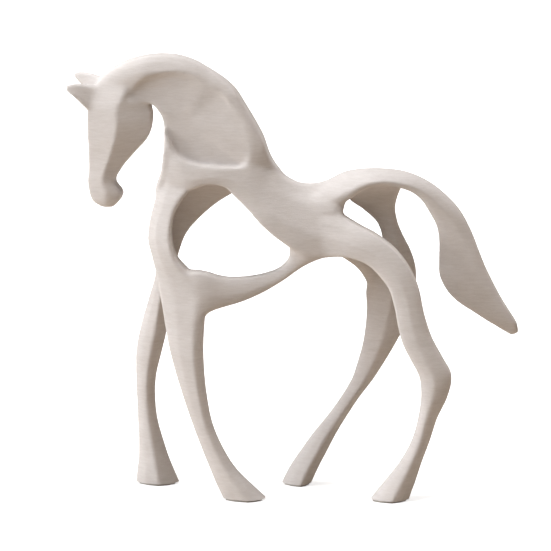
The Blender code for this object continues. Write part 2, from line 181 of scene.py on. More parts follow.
BELLY_STRAP = (
    (-76, 151, -74, 122, -18, 6),
    (-66, 155.6, -62, 121, -22, 9),
    (-57, 154.5, -54, 126.5, -21, 9.2),
    (-46, 151, -45, 129.6, -18, 8.8),
    (-32, 150.6, -30, 134.7, -14.5, 8),
    (-19, 152.6, -17, 140.8, -11, 7.4),
    (-8, 157, -4, 149.2, -9.5, 7.6),
    (-2.2, 164, 6.5, 157.2, -8.5, 9),
    (-1.4, 173, 17, 162.8, -8, 12),
    (16, 184, 30, 165, -9, 12.5),
)
NEAR_HINDLEG = (
    (4, 194, 8, 174, -6, 10),
    (18, 200, 18, 166.5, -8.2, 12),
    (33.5, 194.8, 28, 165, -12.6, 11.4),
    (46, 188.2, 40, 165, -17.5, 10.4),
    (59, 181.6, 51, 161.5, -21, 9.5),
    (72, 171.6, 60, 154, -24, 9),
    (80.6, 160.3, 66.6, 145.5, -26, 9),
    (86.6, 147, 70.4, 134, -27, 9),
    (90.6, 129, 72.8, 122, -28, 9),
    (95.7, 114, 75.7, 110.5, -29, 9),
    (103.4, 100, 81.5, 99, -30, 9),
    (109.3, 88.5, 87.4, 87.5, -30, 9),
    (106.8, 74, 88.9, 74, -30, 8.5),
    (100.2, 59, 87.2, 60, -30, 7.5),
    (95.2, 43, 82.7, 43, -30, 7.5),
    (89.8, 28, 74.5, 27.5, -30, 8.5),
    (85.3, 14, 64.5, 14, -30, 10),
    (81.4, 3, 56, 3, -30, 11.5),
    (78, -8, 47, -8, -30, 12.5),
)
FAR_HINDLEG = (
    (80, 221, 32, 213, 4, 9),
    (74.5, 216, 36, 203, 8, 6.5),
    (68, 200, 45.5, 195.5, 11, 6),
    (68.8, 187, 55, 186.2, 14.5, 6),
    (72.4, 177, 58.3, 176, 17.5, 6.5),
    (77.5, 166, 58, 164, 21, 7),
    (81, 152, 50.5, 150.5, 24, 8),
    (80, 138, 47, 138, 26, 8.5),
    (76.5, 125, 47.3, 125, 28, 8.5),
    (73, 112, 46.4, 112, 28.5, 8.5),
    (67, 100, 44.6, 100, 29, 8.5),
    (60.2, 88, 41.4, 88, 29.5, 8),
    (52.1, 75, 37.1, 75, 30, 7.5),
    (43.2, 63, 30.3, 63, 30, 7.5),
    (34.8, 50, 21.4, 50, 30, 7.5),
    (26.8, 36.5, 10.8, 36.5, 30, 8.5),
    (20.7, 24.5, 2.2, 24, 30, 10),
    (14.6, 12.5, -5.6, 12, 30, 11),
    (9.8, 2, -10, 3, 30, 11.5),
    (4, -8, -15, -8, 30, 12),
)
FAR_FLANK = (
    (16, 190, 12, 165, 2, 10),
    (28, 182, 24, 165, 8, 9),
    (42, 174, 36, 158.5, 14, 8),
    (56, 163, 44.3, 149.5, 20, 7),
    (66, 150, 50, 137, 24, 4.5),
)
FLANK_WEB = (
    (2, 206, 4, 186, -2, 10),
    (18, 208, 20, 186, -4, 12.2),
    (30, 206, 31, 191, -5, 11.5),
)
TAIL = (
    (-4, 207, 2, 190, 0, 8),
    (22, 216, 26, 197, 0, 13.5),
    (35, 222.4, 37, 201.8, 0, 15.2),
    (47, 224.3, 47, 209, 0, 15.5),
    (60, 224.5, 60, 212.5, 0, 14.5),
    (73, 223.3, 71, 211.2, 0, 13),
    (84, 219.8, 79.6, 208.5, 0, 11.5),
    (93, 215, 85.9, 203.7, 0, 10.5),
    (101.6, 208.3, 91.2, 195.8, 0, 9.5),
    (111.4, 198, 96.2, 186.6, 0, 8.5),
    (119.8, 183, 98.2, 176, 0, 7.5),
    (125.3, 169, 98.2, 164, 0, 7),
    (129.8, 158, 98.6, 152.7, 0, 7),
    (134.8, 147.8, 103.6, 142.4, 0, 7),
    (140.1, 138, 110.4, 135.2, 0, 6.5),
    (146, 128.5, 122, 127.6, 0, 6),
    (151, 120.5, 135.5, 119, 0, 5),
    (152.5, 114.3, 147.6, 111.6, 0, 3),
)

# The scoop in the side of the neck: (x, z) on the rim, the floor's inset from it, and the y of the
# rim and of the floor.
SCOOP_RIM = (
    (-113.8, 270.2, 3, -11.2, -8.4),
    (-106, 268.6, 1.5, -11.2, -8.5),
    (-98.5, 266.2, 1, -11.2, -8),
    (-92, 259, 1, -11.2, -7.4),
    (-87.5, 251.5, 1, -11.2, -7.2),
    (-83.4, 244.4, 1, -11.2, -7.2),
    (-81.2, 238.5, 1, -11.2, -7.4),
    (-77.5, 233.3, 1, -11.2, -7.7),
    (-72, 229.5, 1, -11.2, -8.1),
    (-64, 227.3, 1, -11.2, -8.7),
    (-54, 226.4, 1, -11.6, -9.6),
    (-44, 225.9, 1, -12.6, -10.4),
    (-35, 226.2, 1.6, -14, -11.2),
    (-28.5, 228.6, 6, -16.4, -13),
    (-24.5, 234.5, 15, -17.6, -12.8),
    (-23.5, 243, 20, -17.8, -12.8),
    (-27, 253, 19, -17.4, -12.2),
    (-35, 265.5, 15, -16.2, -11.2),
    (-46, 277.2, 13, -14, -9.8),
    (-58, 284, 15, -12.2, -9.6),
    (-68, 288.4, 13, -11.4, -8.8),
    (-79, 289.6, 12, -11.2, -8.1),
    (-91.7, 287.8, 11, -11.2, -7.4),
    (-99.6, 285, 10, -11.2, -7),
    (-105.9, 281.2, 8, -11.2, -6.8),
    (-110.8, 276.3, 6, -11.2, -7),
)
SCOOP_MIDDLE = (-72, 256)
SCOOP_MIDDLE_Y = -8.6
SCOOP_OUTER_Y = -30.0

# At this share of its inset, the scoop's slope has reached this share of its depth. Rings of the
# floor lie at these shares of the way from the foot of the slope to the middle.
SCOOP_STEEP_AT = 0.4
SCOOP_STEEP_TO = 0.72
SCOOP_FLOOR_SHARES = (0.0, 0.3, 0.6, 0.96)

# Folds: at a station's number, the ridge's share of the way from edge A to edge B and the shares
# of the half depth that are kept at edges A and B.
HEAD_FOLDS = (
    (0, 0.5, 0.65, 0.6),
    (4, 0.62, 0.7, 0.6),
    (7, 0.5, 0.74, 0.3),
    (9, 0.5, 0.74, 0.34),
    (10, 0.74, 0.7, 0.6),
    (11, 0.82, 0.7, 0.6),
)
NECK_FOLDS = (
    (0, 0.4, 0.6, 0.8),
    (3, 0.3, 0.6, 0.85),
    (6, 0.25, 0.65, 0.85),
    (8, 0.25, 0.92, 0.9),
    (9, 0.28, 0.92, 0.85),
    (10, 0.35, 0.7, 0.5),
    (11, 0.4, 0.45, 0.4),
)
EAR_FOLDS = ((0, 0.85, 0.6, 0.9), (4, 0.85, 0.55, 0.9))
RING_FOLDS = (
    (0, 0.6, 0.9, 0.9),
    (3, 0.65, 0.85, 0.95),
    (5, 0.72, 0.45, 0.97),
    (7, 0.72, 0.15, 0.97),
    (9, 0.72, 0.15, 0.95),
)
NEAR_FORELEG_FOLDS = (
    (0, 0.85, 0.15, 0.92),
    (4, 0.85, 0.12, 0.92),
    (6, 0.8, 0.15, 0.85),
    (7, 0.76, 0.15, 0.6),
    (9, 0.72, 0.15, 0.25),
    (12, 0.66, 0.2, 0.25),
    (16, 0.6, 0.4, 0.4),
)
FAR_FORELEG_FOLDS = (
    (0, 0.5, 0.8, 0.8),
    (4, 0.5, 0.7, 0.6),
    (6, 0.58, 0.12, 0.15),
    (15, 0.55, 0.2, 0.25),
)
CHEST_FOLDS = ((0, 0.8, 0.15, 0.92), (5, 0.8, 0.15, 0.92))
STRAP_FOLDS = ((0, 0.55, 0.8, 0.9), (4, 0.6, 0.6, 0.85), (9, 0.6, 0.8, 0.9))
NEAR_HINDLEG_FOLDS = (
    (0, 0.6, 0.5, 0.8),
    (2, 0.6, 0.5, 0.92),
    (4, 0.55, 0.7, 0.85),
    (8, 0.5, 0.7, 0.7),
    (11, 0.55, 0.55, 0.5),
    (13, 0.62, 0.25, 0.4),
    (15, 0.5, 0.2, 0.35),
    (18, 0.42, 0.25, 0.4),
)
FAR_HINDLEG_FOLDS = (
    (0, 0.4, 0.6, 0.6),
    (1, 0.4, 0.5, 0.4),
    (4, 0.35, 0.55, 0.3),
    (6, 0.45, 0.35, 0.45),
    (9, 0.5, 0.15, 0.5),
    (13, 0.42, 0.15, 0.35),
    (19, 0.34, 0.2, 0.2),
)
FLANK_FOLDS = ((0, 0.5, 0.8, 0.8), (4, 0.5, 0.6, 0.6))
WEB_FOLDS = ((0, 0.6, 0.5, 0.8), (2, 0.55, 0.6, 0.8))
TAIL_FOLDS = (
    (0, 0.7, 0.2, 0.9),
    (5, 0.65, 0.25, 0.85),
    (8, 0.5, 0.4, 0.7),
    (11, 0.2, 0.8, 0.35),
    (17, 0.2, 0.8, 0.4),
)

# Places where limbs flow into each other: middle x and z, and reach.
SOFT_PLACES = (
    (18, 190, 34),
    (-70, 140, 30),
    (-57, 134, 18),
    (10, 168, 13),
    (-88, 209, 20),
    (-124, 207, 15),
    (17, 178, 22),
    (-121, 278, 23),
    (0, 210, 30),
    (36, 214, 22),
    (-12, 230, 13),
    (-14, 224, 22),
    (-52, 284, 16),
    (-36, 252, 22),
    (-66, 256, 26),
    (60, 204, 16),
    (56, 150, 18),
)
SOFT_FADE = 2.0
SOFT_SMOOTHING = 55
LEG_TOP_Z = 118.0
LEG_SOFTNESS = 0.55

# Joints, and the limits of the castings that meet there
NECK_JOINT_Z = 219.0
NECK_REAR_X = 8.0
HEAD_REAR_X = -106.0
HEAD_LOW_Z = 180.0
FORELEG_JOINT_Z = 114.0
NEAR_FORELEG_REAR_X = 10.0
NEAR_FORELEG_FAR_Y = -4.0
FAR_FORELEG_REAR_X = -60.0
FAR_FORELEG_NEAR_Y = 0.0
THIGH_JOINT_X = 43.0
THIGHS_BETWEEN_Y = -0.5
NEAR_THIGH_TOP_Z = 199.0
FAR_HINDLEG_FRONT_X = -40.0
FAR_THIGH_LOW_Z = 142.0
CROUP_JOINT_Z = 187.0
TAIL_JOINT_X = 82.0
TAIL_HALF_WIDTH = 12.4
TAIL_LOW_Z = 100.0

# The tail's inner limit: upright below this z, and leaning forward by the slope above it
TAIL_INNER_X = 93.0
TAIL_INNER_Z = 190.0
TAIL_INNER_SLOPE = 1.1

# Joint planes: the axis that the plane crosses and its place, then the reach of skin that it
# parts, as lowest and highest x, y and z.
SIDE_Y = 60.0
JOINT_PLANES = (
    ("z", NECK_JOINT_Z, (HEAD_REAR_X, -SIDE_Y, 200), (NECK_REAR_X, SIDE_Y, 240)),
    ("z", FORELEG_JOINT_Z, (-110, -SIDE_Y, 100), (NEAR_FORELEG_REAR_X, NEAR_FORELEG_FAR_Y, 128)),
    ("z", FORELEG_JOINT_Z, (-130, FAR_FORELEG_NEAR_Y, 100), (FAR_FORELEG_REAR_X, SIDE_Y, 128)),
    ("x", THIGH_JOINT_X, (30, -SIDE_Y, 100), (56, THIGHS_BETWEEN_Y, NEAR_THIGH_TOP_Z)),
    ("x", THIGH_JOINT_X, (30, THIGHS_BETWEEN_Y, FAR_THIGH_LOW_Z), (56, SIDE_Y, CROUP_JOINT_Z)),
    ("z", CROUP_JOINT_Z, (THIGH_JOINT_X, THIGHS_BETWEEN_Y, 178), (88.5, SIDE_Y, 196)),
    ("x", TAIL_JOINT_X, (70, -13, 200), (95, 13, 235)),
)

# Light
STUDIO_LIGHTS = (
    # name, place, size, power, colour
    ("key_softbox", (-2.7, -1.9, 2.8), 1.9, 74.0, (0.94, 0.97, 1.0)),
    ("overhead_softbox", (0.0, -0.15, 5.0), 2.5, 204.0, (1.0, 0.985, 0.98)),
    ("left_fill", (-3.3, -0.75, 0.4), 1.6, 98.0, (0.94, 0.97, 1.0)),
    ("side_fill", (2.45, -0.3, 1.9), 1.6, 12.0, (1.0, 0.94, 0.88)),
)
ROOM_LIGHT = (1.0, 0.76, 0.55)
ROOM_STRENGTH = 0.03
LIGHT_AIM = (0.0, 0.0, 0.15)
FLOOR_COLOUR = (0.8, 0.8, 0.8)
FLOOR_BOUNCE = (0.53, 0.44, 0.35)
FLOOR_LIFT = 0.72
FLOOR_LIFT_FAR = 1.0
FLOOR_NEAR = 0.3
FLOOR_FAR = 0.9
FLOOR_SIZE = 12.0

# Camera
CAMERA_AZIMUTH = math.radians(1.5)
CAMERA_ELEVATION = math.radians(11.0)
CAMERA_DISTANCE = 3.0
CAMERA_LENS = 290.0
CAMERA_SENSOR = 36.0
CAMERA_REACH = 50.0
CAMERA_AIM = (-0.0121, 0.0002, 0.1501)

# Finishes: two tones, the roughness where the mask is 0 and 1, the specular level, and the
# strength and distance of the bump
STONE_PALE = (0.775, 0.74, 0.728, 1.0)
STONE_SHADE = (0.6, 0.555, 0.527, 1.0)
STONE_ROUGHNESS = (0.97, 0.82)
STONE_SPECULAR = 0.3
STONE_BUMP = (0.35, 0.0003)
FELT_PALE = (0.62, 0.60, 0.57, 1.0)
FELT_DARK = (0.46, 0.44, 0.41, 1.0)
FELT_ROUGHNESS = (1.0, 0.9)
FELT_SPECULAR = 0.1
FELT_BUMP = (0.6, 0.0003)
STEEL_PALE = (0.62, 0.62, 0.63, 1.0)
STEEL_DARK = (0.42, 0.42, 0.44, 1.0)
STEEL_ROUGHNESS = (0.42, 0.28)
STEEL_BUMP = (0.2, 0.0001)

# Noises: the scale along each axis, detail and roughness
STROKES = ((115, 115, 640), 3.0, 0.65)
HAIRS = ((260, 260, 2100), 2.0, 0.6)
CLOUDS = ((38, 38, 60), 4.0, 0.55)
GRAIN = ((2300, 2300, 2300), 2.0, 0.7)
PITS = ((700, 700, 900), 1.0, 0.55)
FIBRES = ((1500, 700, 2500), 4.0, 0.7)
TUFTS = ((260, 260, 500), 3.0, 0.55)
DRAWN_LINES = ((2600, 2600, 180), 3.0, 0.55)

# The values of a noise that become 0 and 1
NOISE_RANGE = (0.3, 0.7)
PIT_RANGE = (0.66, 0.78)


# Shapes

def folded_stations(stations, folds):
    """The stations, each with its own ridge and edge shares."""
    keys = np.array(folds, float)
    numbers = np.arange(len(stations))
    shares = [np.interp(numbers, keys[:, 0], keys[:, column]) for column in (1, 2, 3)]
    return np.column_stack((np.array(stations, float), *shares))


def between_stations(knots, spacing):
    """Rows along a smooth curve through the stations, about one spacing apart."""
    return smooth_rows(knots, (knots[:, 0:2] + knots[:, 2:4]) / 2, spacing)


def smooth_rows(knots, track, spacing):
    """Rows on a smooth curve through the knots; the track gives how far apart the knots are."""
    steps = np.maximum(np.linalg.norm(np.diff(track, axis=0), axis=1), SHORTEST_STEP)
    slopes = np.diff(knots, axis=0) / steps[:, None]
    tangents = np.empty_like(knots)
    tangents[0] = slopes[0]
    tangents[-1] = slopes[-1]
    before = steps[:-1, None]
    after = steps[1:, None]
    tangents[1:-1] = (slopes[:-1] * after + slopes[1:] * before) / (before + after)
    rows = []
    for index, step in enumerate(steps):
        count = max(1, round(step / spacing))
        for share in np.arange(count) / count:
            square = share * share
            cube = square * share
            rows.append(
                knots[index] * (2 * cube - 3 * square + 1)
                + tangents[index] * step * (cube - 2 * square + share)
                + knots[index + 1] * (3 * square - 2 * cube)
                + tangents[index + 1] * step * (cube - square)
            )
    rows.append(knots[-1])
    return rows


def placed(x, y, z):
    """A tabled point with the stance and the fall of the form applied."""
    x += STANCE_STAGGER * y
    return x, y * STANCE_SPREAD, z - BODY_FALL * x


def section_ring(row, bulge=ROUND_TO):
    """Points of one folded section, down its near side and back up its far side."""
    ax, az, bx, bz, y, depth, ridge, edge_a, edge_b = row
    upright = (az - bz) / math.hypot(ax - bx, az - bz)
    bz += SIGHT_RISE * depth * edge_b * upright
    ax, middle, az = placed(ax, y, az)
    bx, _, bz = placed(bx, y, bz)
    fold = (
        (0.0, edge_a),
        (ridge * ROUND_AT, edge_a + (1 - edge_a) * bulge),
        (ridge, 1.0),
        (1 - (1 - ridge) * ROUND_AT, edge_b + (1 - edge_b) * bulge),
        (1.0, edge_b),
    )
    line = [(ax + (bx - ax) * u, az + (bz - az) * u, depth * v) for u, v in fold]
    near = [(x, middle - half, z) for x, z, half in line]
    far = [(x, middle + half, z) for x, z, half in line]
    return near + far[::-1]


def turned_head(stations, folds, side=1.0, droop=0.0):
    """Rings of a head form, turned about the poll; side -1 gives the far twin."""
    rings = []
    for row in between_stations(folded_stations(stations, folds), ROW_SPACING):
        ring = []
        for x, y, z in section_ring(row, ROUND_AT):
            y = y * side
            along = x - HEAD_PIVOT_X
            turned_x = HEAD_PIVOT_X + along * math.cos(HEAD_TURN) + y * math.sin(HEAD_TURN)
            turned_y = y * math.cos(HEAD_TURN) - along * math.sin(HEAD_TURN)
            ring.append((turned_x, turned_y, z - droop))
        rings.append(ring)
    return rings


def mesh_object(name, bm):
    """An object in the scene that holds the mesh, with its faces turned outwards."""
    bmesh.ops.recalc_face_normals(bm, faces=bm.faces[:])
    mesh = bpy.data.meshes.new(name)
    bm.to_mesh(mesh)
    bm.free()
    made = bpy.data.objects.new(name, mesh)
    bpy.context.scene.collection.objects.link(made)
    return made


def hoop(bm, points):
    """The edges of one closed ring of points, given in millimetres."""
    corners = [bm.verts.new(Vector(point) * MM) for point in points]
    return [bm.edges.new(ends) for ends in zip(corners, corners[1:] + corners[:1])]


def loft(name, rings):
    """A closed body bridged from ring to ring."""
    bm = bmesh.new()
    hoops = [hoop(bm, ring) for ring in rings]
    for lower, upper in zip(hoops, hoops[1:]):
        bmesh.ops.bridge_loops(bm, edges=lower + upper)
    for end in (hoops[0], hoops[-1]):
        bmesh.ops.edgeloop_fill(bm, edges=end)
    return mesh_object(name, bm)


def ribbon(name, stations, folds):
    """A limb or band lofted through its stations."""
    rows = between_stations(folded_stations(stations, folds), ROW_SPACING)
    return loft(name, [section_ring(row) for row in rows])


def scoop_rim():
    """Rows on a smooth closed curve through the points of the scoop's rim."""
    knots = np.array(SCOOP_RIM[-2:] + SCOOP_RIM + SCOOP_RIM[:2], float)
    rows = smooth_rows(knots, knots[:, 0:2], ROW_SPACING)
    first = next(i for i, row in enumerate(rows) if np.allclose(row, knots[2]))
    last = max(i for i, row in enumerate(rows) if np.allclose(row, knots[-2]))
    return rows[first:last]


def scoop_cutter(name, side):
    """The tool that hollows one side of the neck, sloping in from its rim to its floor."""
    middle = Vector(SCOOP_MIDDLE)
    outer = []
    rim = []
    slope = []
    floors = [[] for _ in SCOOP_FLOOR_SHARES]
    for x, z, inset, rim_y, floor_y in scoop_rim():
        edge = Vector((x, z))
        step = (middle - edge).normalized()
        outer.append((*(edge - step), SCOOP_OUTER_Y))
        rim.append((*edge, rim_y))
        slope_y = rim_y + (floor_y - rim_y) * SCOOP_STEEP_TO
        slope.append((*(edge + step * inset * SCOOP_STEEP_AT), slope_y))
        for floor, share in zip(floors, SCOOP_FLOOR_SHARES):
            spot = (edge + step * inset).lerp(middle, share)
            floor.append((*spot, floor_y + (SCOOP_MIDDLE_Y - floor_y) * share))
    rings = []
    for ring in (outer, rim, slope, *floors):
        points = [placed(x, 0, z) for x, z, y in ring]
        rings.append([(x, y * side, z) for (x, _, z), (_, _, y) in zip(points, ring)])
    return loft(name, rings)


def bake(body):
    """Replaces the body's mesh with the result of its modifiers."""
    graph = bpy.context.evaluated_depsgraph_get()
    mesh = bpy.data.meshes.new_from_object(body.evaluated_get(graph), depsgraph=graph)
    body.modifiers.clear()
    body.data = mesh


def carve(body, cutters):
    """Cuts the cutters from the body."""
    for cutter in cutters:
        change = body.modifiers.new("carve", "BOOLEAN")
        change.operation = "DIFFERENCE"
        change.solver = "MANIFOLD"
        change.object = cutter
    bake(body)


def joined(name, bodies):
    """One object that holds the meshes of all the bodies."""
    bm = bmesh.new()
    for body in bodies:
        bm.from_mesh(body.data)
        bpy.data.objects.remove(body)
    return mesh_object(name, bm)


def statue_skin():
    """The whole outer form as one fine closed body."""
    scoops = [scoop_cutter("neck_scoop_near", 1.0), scoop_cutter("neck_scoop_far", -1.0)]
    neck = ribbon("neck", NECK, NECK_FOLDS)
    ring = ribbon("shoulder_ring", SHOULDER_RING, RING_FOLDS)
    head = loft("head", turned_head(HEAD, HEAD_FOLDS))
    for body in (neck, ring, head):
        carve(body, scoops)
    for scoop in scoops:
        bpy.data.objects.remove(scoop)
    bodies = [
        neck,
        ring,
        head,
        loft("near_ear", turned_head(EAR, EAR_FOLDS, 1.0, NEAR_EAR_DROOP)),
        loft("far_ear", turned_head(EAR, EAR_FOLDS, -1.0, FAR_EAR_DROOP)),
        ribbon("near_foreleg_form", NEAR_FORELEG, NEAR_FORELEG_FOLDS),
        ribbon("far_foreleg_form", FAR_FORELEG, FAR_FORELEG_FOLDS),
        ribbon("chest_wall", CHEST_WALL, CHEST_FOLDS),
        ribbon("belly_strap", BELLY_STRAP, STRAP_FOLDS),
        ribbon("near_hindleg_form", NEAR_HINDLEG, NEAR_HINDLEG_FOLDS),
        ribbon("far_hindleg_form", FAR_HINDLEG, FAR_HINDLEG_FOLDS),
        ribbon("far_flank", FAR_FLANK, FLANK_FOLDS),
        ribbon("flank_web", FLANK_WEB, WEB_FOLDS),
        ribbon("tail_form", TAIL, TAIL_FOLDS),
    ]
    skin = joined("statue_skin", bodies)
    remesh = skin.modifiers.new("remesh", "REMESH")
    remesh.mode = "VOXEL"
    remesh.voxel_size = SKIN_GRAIN * MM
    bake(skin)
    soften(skin)
    return skin


def soften(skin):
    """Rounds the edges of the skin, and more of it where limbs flow into each other."""
    flow = skin.vertex_groups.new(name="flow")
    for vertex in skin.data.vertices:
        x, _, z = vertex.co / MM
        weight = LEG_SOFTNESS if z < LEG_TOP_Z else 0.0
        for middle_x, middle_z, reach in SOFT_PLACES:
            away = math.hypot(x - middle_x, z - middle_z) / reach
            weight = max(weight, min(1.0, SOFT_FADE * (1.0 - away)))
        if weight > 0.0:
            flow.add([vertex.index], weight, "REPLACE")
    for group, rounds in (("", SKIN_SMOOTHING), ("flow", SOFT_SMOOTHING)):
        smooth = skin.modifiers.new("smooth", "SMOOTH")
        smooth.factor = SMOOTHING_FACTOR
        smooth.iterations = rounds
        smooth.vertex_group = group
    bake(skin)
    skin.vertex_groups.clear()


def inside(point, low, high):
    """True where a point lies between two corners, given in millimetres."""
    return all(l * MM <= value <= h * MM for value, l, h in zip(point, low, high))


def casting_at(point):
    """The casting that a point of the parted skin belongs to."""
    x, y, z = point / MM
    if (z > NECK_JOINT_Z and x < NECK_REAR_X) or (x < HEAD_REAR_X and z > HEAD_LOW_Z):
        return "head_neck"
    if z < FORELEG_JOINT_Z:
        if y < NEAR_FORELEG_FAR_Y and x < NEAR_FORELEG_REAR_X:
            return "near_foreleg"
        if y > FAR_FORELEG_NEAR_Y and x < FAR_FORELEG_REAR_X:
            return "far_foreleg"
    tail_x = TAIL_INNER_X - max(z - TAIL_INNER_Z, 0.0) * TAIL_INNER_SLOPE
    if x > max(tail_x, TAIL_JOINT_X) and abs(y) < TAIL_HALF_WIDTH and z > TAIL_LOW_Z:
        return "tail"
    if x > THIGH_JOINT_X and y < THIGHS_BETWEEN_Y and z < NEAR_THIGH_TOP_Z:
        return "near_hindleg"
    if x > FAR_HINDLEG_FRONT_X and y > THIGHS_BETWEEN_Y:
        if z < FAR_THIGH_LOW_Z or (x > THIGH_JOINT_X and z < CROUP_JOINT_Z):
            return "far_hindleg"
    return "torso"


def part_castings(skin):
    """Cuts the skin at the soles and joints, and returns a closed body for each casting."""
    bm = bmesh.new()
    bm.from_mesh(skin.data)
    bpy.data.objects.remove(skin)
    bmesh.ops.bisect_plane(
        bm,
        geom=bm.verts[:] + bm.edges[:] + bm.faces[:],
        plane_co=(0, 0, SOLE_Z * MM),
        plane_no=(0, 0, -1),
        clear_outer=True,
    )
    for axis, place, low, high in JOINT_PLANES:
        normal = Vector((axis == "x", axis == "y", axis == "z"))
        faces = [face for face in bm.faces if inside(face.calc_center_median(), low, high)]
        edges = {edge for face in faces for edge in face.edges}
        verts = {vert for face in faces for vert in face.verts}
        bmesh.ops.bisect_plane(
            bm,
            geom=[*verts, *edges, *faces],
            plane_co=normal * place * MM,
            plane_no=normal,
        )
    names = []
    for face in bm.faces:
        name = casting_at(face.calc_center_median())
        if name not in names:
            names.append(name)
        face.material_index = names.index(name)
    castings = {}
    for index, name in enumerate(names):
        part = bm.copy()
        others = [face for face in part.faces if face.material_index != index]
        bmesh.ops.delete(part, geom=others, context="FACES")
        for face in part.faces:
            face.material_index = 0
            face.smooth = True
        rims = [edge for edge in part.edges if edge.is_boundary]
        bmesh.ops.holes_fill(part, edges=rims, sides=0)
        made = mesh_object(name + "_casting", part)
        made.data.set_sharp_from_angle(angle=SEAM_ANGLE)
        castings[name] = made
    bm.free()
    return castings


def hoof_pad(name, stations, folds):
    """A felt disc with the outline of the hoof's sole, a little smaller, with rounded edges."""
    rows = between_stations(folded_stations(stations, folds), PAD_ROW_SPACING)
    sole = min(rows, key=lambda row: abs(row[1] + row[3] - 2 * SOLE_Z))
    ring = section_ring(sole)
    middle = Vector((0, 0, 0))
    for point in ring:
        middle += Vector(point) / len(ring)
    outline = []
    for x, y, z in ring:
        outline.append(
            (middle.x + (x - middle.x) * PAD_SHARE, middle.y + (y - middle.y) * PAD_SHARE, 0.0)
        )
    bm = bmesh.new()
    bmesh.ops.edgeloop_fill(bm, edges=hoop(bm, outline))
    lifted = bmesh.ops.extrude_face_region(bm, geom=bm.faces[:])
    corners = [item for item in lifted["geom"] if isinstance(item, bmesh.types.BMVert)]
    bmesh.ops.translate(bm, vec=(0, 0, PAD_THICKNESS * MM), verts=corners)
    bmesh.ops.recalc_face_normals(bm, faces=bm.faces[:])
    rims = []
    for edge in bm.edges:
        low, high = edge.verts
        if abs(low.co.z - high.co.z) < LEVEL_WITHIN * MM:
            rims.append(edge)
    bmesh.ops.bevel(
        bm,
        geom=rims,
        offset=PAD_ROUND * MM,
        affect="EDGES",
        segments=PAD_ROUND_STEPS,
        profile=0.5,
        material=-1,
    )
    for face in bm.faces:
        face.smooth = True
    made = mesh_object(name, bm)
    made.data.set_sharp_from_angle(angle=SEAM_ANGLE)
    return made


def centre(bodies):
    """Moves all the bodies together, so that the middle of their footprint is at the origin."""
    corners = np.array([vertex.co for body in bodies for vertex in body.data.vertices])
    middle = (corners.min(axis=0) + corners.max(axis=0)) / 2
    for body in bodies:
        body.data.transform(Matrix.Translation((-middle[0], -middle[1], 0.0)))


# Finishes

def node(tree, kind, **settings):
    """A shader node with the settings given; a setting named for an input fills that input."""
    made = tree.nodes.new(kind)
    for key, value in settings.items():
        if key in made.inputs:
            made.inputs[key].default_value = value
        else:
            setattr(made, key, value)
    return made


def spread(tree, value, low, high, to_low=0.0, to_high=1.0):
    """A value between low and high, carried to another range."""
    made = node(tree, "ShaderNodeMapRange")
    limits = {"From Min": low, "From Max": high, "To Min": to_low, "To Max": to_high}
    for key, number in limits.items():
        made.inputs[key].default_value = number
    tree.links.new(value, made.inputs["Value"])
    return made.outputs["Result"]


def noise(tree, place, kind, limits=NOISE_RANGE):
    """A mask from one kind of noise in a place socket; its limits become 0 and 1."""
    scale, detail, roughness = kind
    mapping = node(tree, "ShaderNodeMapping", Scale=scale)
    texture = node(tree, "ShaderNodeTexNoise", Scale=1.0, Detail=detail, Roughness=roughness)
    tree.links.new(place, mapping.inputs["Vector"])
    tree.links.new(mapping.outputs["Vector"], texture.inputs["Vector"])
    return spread(tree, texture.outputs["Fac"], *limits)


def sum_of(tree, *shares):
    """The sum of values, each with its own share."""
    total = None
    for value, share in shares:
        scaled = node(tree, "ShaderNodeMath", operation="MULTIPLY")
        tree.links.new(value, scaled.inputs[0])
        scaled.inputs[1].default_value = share
        if total is None:
            total = scaled.outputs[0]
            continue
        added = node(tree, "ShaderNodeMath", operation="ADD")
        tree.links.new(total, added.inputs[0])
        tree.links.new(scaled.outputs[0], added.inputs[1])
        total = added.outputs[0]
    return total


def two_tones(tree, mask, low, high):
    """A colour between two, by a mask."""
    made = node(tree, "ShaderNodeMix", data_type="RGBA")
    tree.links.new(mask, made.inputs["Factor"])
    colours = [socket for socket in made.inputs if socket.type == "RGBA"]
    for socket, colour in zip(colours, (low, high)):
        socket.default_value = colour
    return next(socket for socket in made.outputs if socket.type == "RGBA")


def rubbed_stone_group():
    """Strokes of rubbing, sand grain, pits and soft clouds, as a mask of tone and a height."""
    tree = bpy.data.node_groups.new("rubbed_stone", "ShaderNodeTree")
    tree.interface.new_socket("Place", in_out="INPUT", socket_type="NodeSocketVector")
    tree.interface.new_socket("Tone", in_out="OUTPUT", socket_type="NodeSocketFloat")
    tree.interface.new_socket("Height", in_out="OUTPUT", socket_type="NodeSocketFloat")
    place = node(tree, "NodeGroupInput").outputs["Place"]
    result = node(tree, "NodeGroupOutput")
    strokes = noise(tree, place, STROKES)
    hairs = noise(tree, place, HAIRS)
    clouds = noise(tree, place, CLOUDS)
    grain = noise(tree, place, GRAIN)
    pits = noise(tree, place, PITS, PIT_RANGE)
    tone = sum_of(tree, (strokes, 0.34), (hairs, 0.2), (clouds, 0.28), (grain, 0.18))
    height = sum_of(tree, (strokes, 0.5), (hairs, 0.3), (grain, 0.35), (pits, -0.5))
    tree.links.new(tone, result.inputs["Tone"])
    tree.links.new(height, result.inputs["Height"])
    return tree


def new_material(name):
    """A material with its Principled shader and a socket of Object coordinates."""
    material = bpy.data.materials.new(name)
    material.use_nodes = True
    tree = material.node_tree
    shader = tree.nodes["Principled BSDF"]
    place = node(tree, "ShaderNodeTexCoord").outputs["Object"]
    return material, tree, shader, place


def bump(tree, shader, height, strength, distance):
    """Turns a height into the shader's normal."""
    made = node(tree, "ShaderNodeBump", Strength=strength, Distance=distance)
    tree.links.new(height, made.inputs["Height"])
    tree.links.new(made.outputs["Normal"], shader.inputs["Normal"])


